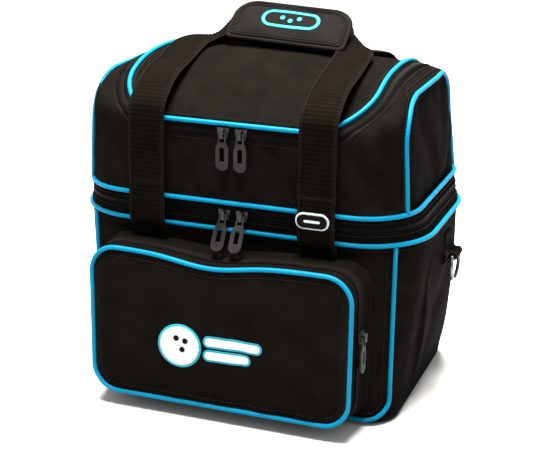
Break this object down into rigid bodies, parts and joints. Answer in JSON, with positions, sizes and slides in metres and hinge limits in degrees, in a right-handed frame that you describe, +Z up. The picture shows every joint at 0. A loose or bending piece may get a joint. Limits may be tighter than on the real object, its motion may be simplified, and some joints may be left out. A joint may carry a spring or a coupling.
{
  "type": "bowling ball bag",
  "caption": "Soft one-ball bowling tote: piped ball compartment, zipped flip-up shoe compartment with domed lid, front pocket and padded webbing handles.",
  "frame": {"origin": "middle of the flat base, on the surface that the bag stands on", "axes": "+Z up, the pocket side faces -Y, +X to the right seen from the front"},
  "size_m": [0.3844, 0.2953, 0.3799],
  "materials": {
    "body_fabric": "matt woven polyester",
    "piping_fabric": "smooth satin piping",
    "webbing": "ribbed webbing",
    "grip_fabric": "matt woven polyester",
    "hook_and_loop": "napped",
    "zip_chain": "coil zip",
    "zip_metal": "black enamel",
    "pull_plastic": "moulded",
    "ring_metal": "black enamel",
    "stiffener": "plain board",
    "foam": "cloth-covered foam",
    "emblem_blue": "raised print",
    "emblem_white": "raised print"
  },
  "bodies": {
    "lower_body": {"base_panel": "body_fabric", "base_board": "stiffener", "ball_cup": "foam", "lower_front_panel": "body_fabric", "lower_back_panel": "body_fabric", "lower_left_panel": "body_fabric", "lower_right_panel": "body_fabric", "lower_front_piping": "piping_fabric", "lower_band_piping": "piping_fabric", "lower_band": "body_fabric", "lower_zip_chain": "zip_chain", "rear_hinge_strip": "body_fabric", "pocket_gusset": "body_fabric", "pocket_zip_chain": "zip_chain", "front_strap_tails": "webbing", "back_strap_tails": "webbing", "left_ring_loop": "webbing", "right_ring_loop": "webbing"},
    "upper_compartment": {"upper_zip_chain": "zip_chain", "upper_band": "body_fabric", "upper_band_piping": "piping_fabric", "divider_floor": "body_fabric", "upper_front_wall": "body_fabric", "upper_back_wall": "body_fabric", "upper_left_panel": "body_fabric", "upper_right_panel": "body_fabric", "upper_left_gusset": "body_fabric", "upper_right_gusset": "body_fabric", "upper_side_piping": "piping_fabric", "lid_opening_zip_chain": "zip_chain"},
    "lid": {"lid_panel": "body_fabric", "lid_piping": "piping_fabric", "lid_zip_chain": "zip_chain"},
    "pocket_flap": {"pocket_front": "body_fabric", "pocket_piping": "piping_fabric", "pocket_emblem": "emblem_white"},
    "front_fold": {"front_strap_runs": "webbing", "strap_label": "emblem_white"},
    "front_handle": {"front_webbing": "webbing", "grip_front_pad": "grip_fabric", "grip_front_binding": "webbing", "grip_emblem": "emblem_blue", "grip_hook_strip": "hook_and_loop"},
    "back_fold": {"back_strap_runs": "webbing"},
    "back_handle": {"back_webbing": "webbing", "grip_back_pad": "grip_fabric", "grip_back_binding": "webbing", "grip_loop_strip": "hook_and_loop"},
    "lid_slider_left": {"lid_slider_left": "zip_metal"},
    "lid_slider_right": {"lid_slider_right": "zip_metal"},
    "lid_pull_left": {"lid_pull_left": "pull_plastic"},
    "lid_pull_right": {"lid_pull_right": "pull_plastic"},
    "mid_slider_left": {"mid_slider_left": "zip_metal"},
    "mid_slider_right": {"mid_slider_right": "zip_metal"},
    "mid_pull_left": {"mid_pull_left": "pull_plastic"},
    "mid_pull_right": {"mid_pull_right": "pull_plastic"},
    "pocket_slider": {"pocket_slider": "zip_metal"},
    "pocket_pull": {"pocket_pull": "pull_plastic"},
    "left_d_ring": {"left_d_ring": "ring_metal"},
    "right_d_ring": {"right_d_ring": "ring_metal"}
  },
  "joints": [
    {"name": "flip_top", "type": "hinge", "parent": "lower_body", "child": "upper_compartment", "pos_m": [0, 0.1225, 0.1995], "axis": [-1, 0, 0], "range_deg": [0, 90]},
    {"name": "lid_open", "type": "hinge", "parent": "upper_compartment", "child": "lid", "pos_m": [0, 0.08, 0.316], "axis": [1, 0, 0], "range_deg": [-75, 0]},
    {"name": "front_handle_lid", "type": "hinge", "parent": "lower_body", "child": "front_fold", "pos_m": [0, -0.132, 0.193], "axis": [1, 0, 0], "range_deg": [0, 125]},
    {"name": "front_handle_flip", "type": "hinge", "parent": "front_fold", "child": "front_handle", "pos_m": [0, -0.132, 0.245], "axis": [1, 0, 0], "range_deg": [0, 135.5]},
    {"name": "back_handle_flip", "type": "hinge", "parent": "lower_body", "child": "back_fold", "pos_m": [0, 0.1305, 0.193], "axis": [-1, 0, 0], "range_deg": [0, 118]},
    {"name": "back_handle_lid", "type": "hinge", "parent": "back_fold", "child": "back_handle", "pos_m": [0, 0.1305, 0.255], "axis": [-1, 0, 0], "range_deg": [0, 60.5]},
    {"name": "pocket_open", "type": "hinge", "parent": "lower_body", "child": "pocket_flap", "pos_m": [0, -0.16, 0.0195], "axis": [1, 0, 0], "range_deg": [0, 70]},
    {"name": "lid_zip_left", "type": "slide", "parent": "lid", "child": "lid_slider_left", "axis": [-1, 0, 0], "range_m": [0, 0.047]},
    {"name": "lid_pull_swing_left", "type": "hinge", "parent": "lid_slider_left", "child": "lid_pull_left", "pos_m": [-0.009, -0.1287, 0.281], "axis": [-1, 0, 0], "range_deg": [0, 120]},
    {"name": "mid_zip_left", "type": "slide", "parent": "upper_compartment", "child": "mid_slider_left", "axis": [-1, 0, 0], "range_m": [0, 0.047]},
    {"name": "mid_pull_swing_left", "type": "hinge", "parent": "mid_slider_left", "child": "mid_pull_left", "pos_m": [-0.009, -0.12459, 0.2], "axis": [-1, 0, 0], "range_deg": [0, 88]},
    {"name": "lid_zip_right", "type": "slide", "parent": "lid", "child": "lid_slider_right", "axis": [1, 0, 0], "range_m": [0, 0.047]},
    {"name": "lid_pull_swing_right", "type": "hinge", "parent": "lid_slider_right", "child": "lid_pull_right", "pos_m": [0.009, -0.1287, 0.281], "axis": [-1, 0, 0], "range_deg": [0, 120]},
    {"name": "mid_zip_right", "type": "slide", "parent": "upper_compartment", "child": "mid_slider_right", "axis": [1, 0, 0], "range_m": [0, 0.047]},
    {"name": "mid_pull_swing_right", "type": "hinge", "parent": "mid_slider_right", "child": "mid_pull_right", "pos_m": [0.009, -0.12459, 0.2], "axis": [-1, 0, 0], "range_deg": [0, 88]},
    {"name": "pocket_zip", "type": "slide", "parent": "lower_body", "child": "pocket_slider", "axis": [0, 0, 1], "range_m": [-0.05, 0.03]},
    {"name": "pocket_pull_swing", "type": "hinge", "parent": "pocket_slider", "child": "pocket_pull", "pos_m": [0.1392, -0.1428, 0.104], "axis": [0, -1, 0], "range_deg": [0, 120]},
    {"name": "left_ring_swing", "type": "hinge", "parent": "lower_body", "child": "left_d_ring", "pos_m": [-0.187, 0.02, 0.141], "axis": [0, 1, 0], "range_deg": [-8, 150]},
    {"name": "right_ring_swing", "type": "hinge", "parent": "lower_body", "child": "right_d_ring", "pos_m": [0.187, 0.02, 0.141], "axis": [0, -1, 0], "range_deg": [-8, 150]}
  ],
  "couplings": [
    {"joint": "front_handle_flip", "follows": "flip_top", "ratio": 1.5},
    {"joint": "back_handle_flip", "follows": "flip_top", "ratio": 1.3},
    {"joint": "front_handle_lid", "follows": "lid_open", "ratio": -1.66},
    {"joint": "back_handle_lid", "follows": "lid_open", "ratio": -0.8}
  ]
}
